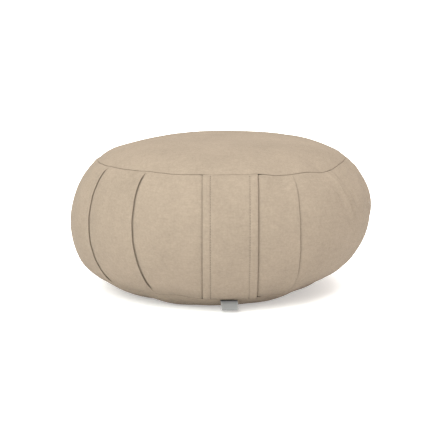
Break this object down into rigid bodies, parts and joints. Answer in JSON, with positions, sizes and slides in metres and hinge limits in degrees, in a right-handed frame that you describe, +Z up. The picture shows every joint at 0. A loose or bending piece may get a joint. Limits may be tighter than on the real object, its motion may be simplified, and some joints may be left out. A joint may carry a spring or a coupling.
{
  "type": "zafu meditation cushion",
  "caption": "Round pleated floor cushion with a domed top panel, a flat resting face, a bulging side band, a topstitched front closure panel and a small ribbon tab.",
  "frame": {"origin": "on the resting face of the bottom panel, under the middle of the cushion", "axes": "+Z up, -Y towards the front with the closure panel, +X to the right seen from the front"},
  "size_m": [0.3958, 0.3987, 0.2],
  "materials": {
    "canvas": "matt plain-woven cotton canvas, sand beige",
    "thread": "matt sewing thread, tone on tone",
    "ribbon": "satin-woven ribbon, pale grey, bare"
  },
  "bodies": {
    "root": {"side_band": "canvas", "top_panel": "canvas", "bottom_panel": "canvas", "closure_panel": "canvas", "ribbon_tab": "ribbon"}
  },
  "joints": []
}
